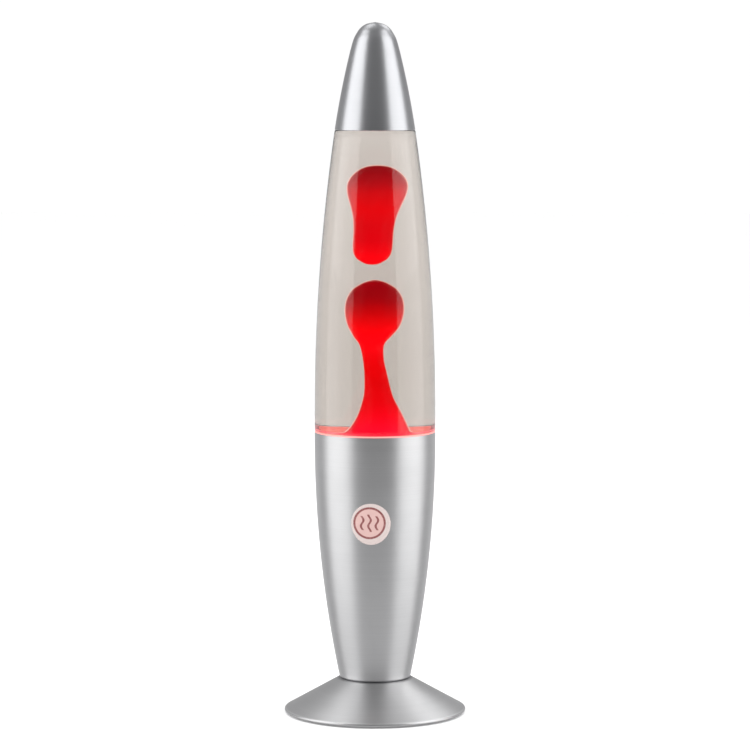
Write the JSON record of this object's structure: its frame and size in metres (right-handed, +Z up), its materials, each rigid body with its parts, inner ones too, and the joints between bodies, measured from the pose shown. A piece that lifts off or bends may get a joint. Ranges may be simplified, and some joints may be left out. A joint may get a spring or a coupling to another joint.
{
  "type": "lava lamp",
  "caption": "Rocket-shaped lava lamp: spun aluminium foot, cup and cap round a sealed glass bottle of clear liquid and red wax, with a reflector bulb in the cup.",
  "frame": {"origin": "centre of the underside, on the table", "axes": "+Z up along the lamp's axis; -Y is the front, with the label; the cord leaves at +Y"},
  "size_m": [0.108, 0.108, 0.41],
  "materials": {
    "spun_aluminium": "lathe-spun and finely brushed round the axis, satin",
    "zinc_steel": "bright zinc plate",
    "brass": "plain turned brass",
    "black_plastic": "fine moulded grain",
    "black_rubber": "matt",
    "clear_silicone": "clear, glowing where light leaves the cup",
    "label_film": "pale printed film",
    "white_plastic": "smooth moulded",
    "brown_insulation": "smooth extruded",
    "blue_insulation": "smooth extruded",
    "white_ceramic": "unglazed steatite",
    "bottle_glass": "clear, polished",
    "bulb_glass": "clear with a mirrored shoulder",
    "nickel_plate": "thin nickel plate",
    "black_vitrite": "glossy",
    "tungsten": "bare wire",
    "closure_metal": "bright rolled sheet",
    "clear_liquid": "clear and colourless",
    "red_wax": "smooth, translucent, lit from below"
  },
  "bodies": {
    "base": {"foot": "spun_aluminium", "bottom_cover": "black_plastic", "rubber_foot_1": "black_rubber", "rubber_foot_2": "black_rubber", "rubber_foot_3": "black_rubber", "rubber_foot_4": "black_rubber", "cord_grommet": "black_plastic", "base_cup": "spun_aluminium", "seat_ring": "clear_silicone", "label": "label_film", "nipple": "brass", "cup_washer": "zinc_steel", "lock_washer": "zinc_steel", "lock_nut": "zinc_steel", "terminal_block": "white_plastic", "terminal_tube_1": "brass", "terminal_tube_2": "brass", "terminal_screws": "zinc_steel", "lead_live": "brown_insulation", "lead_neutral": "blue_insulation", "holder_base": "black_plastic", "holder_core": "white_ceramic", "holder_sleeve": "black_plastic", "thread_shell": "brass", "centre_contact": "brass", "side_contact": "brass", "holder_screws": "zinc_steel"},
    "globe": {"glass_bottle": "bottle_glass", "bottle_cap": "closure_metal", "cap_seal": "white_plastic", "liquid": "clear_liquid", "wax_column": "red_wax", "wire_coil": "zinc_steel"},
    "top_cap": {"top_cap": "spun_aluminium", "cap_ring": "black_plastic"},
    "bulb": {"bulb_glass": "bulb_glass", "bulb_screw_cap": "nickel_plate", "bulb_insulator": "black_vitrite", "bulb_tip": "zinc_steel", "bulb_stem": "bulb_glass", "bulb_lead_wires": "zinc_steel", "bulb_filament": "tungsten"},
    "wax_blob": {"wax_blob": "red_wax"}
  },
  "joints": [
    {"name": "globe_lift", "type": "slide", "parent": "base", "child": "globe", "axis": [0, 0, 1], "range_m": [0, 0.08]},
    {"name": "cap_lift", "type": "slide", "parent": "globe", "child": "top_cap", "axis": [0, 0, 1], "range_m": [0, 0.06]},
    {"name": "bulb_unscrew", "type": "slide", "parent": "base", "child": "bulb", "axis": [0, 0, 1], "range_m": [0, 0.0085]},
    {"name": "wax_rise", "type": "slide", "parent": "globe", "child": "wax_blob", "axis": [0, 0, 1], "range_m": [-0.007, 0.018], "deforming": ["liquid"]}
  ]
}
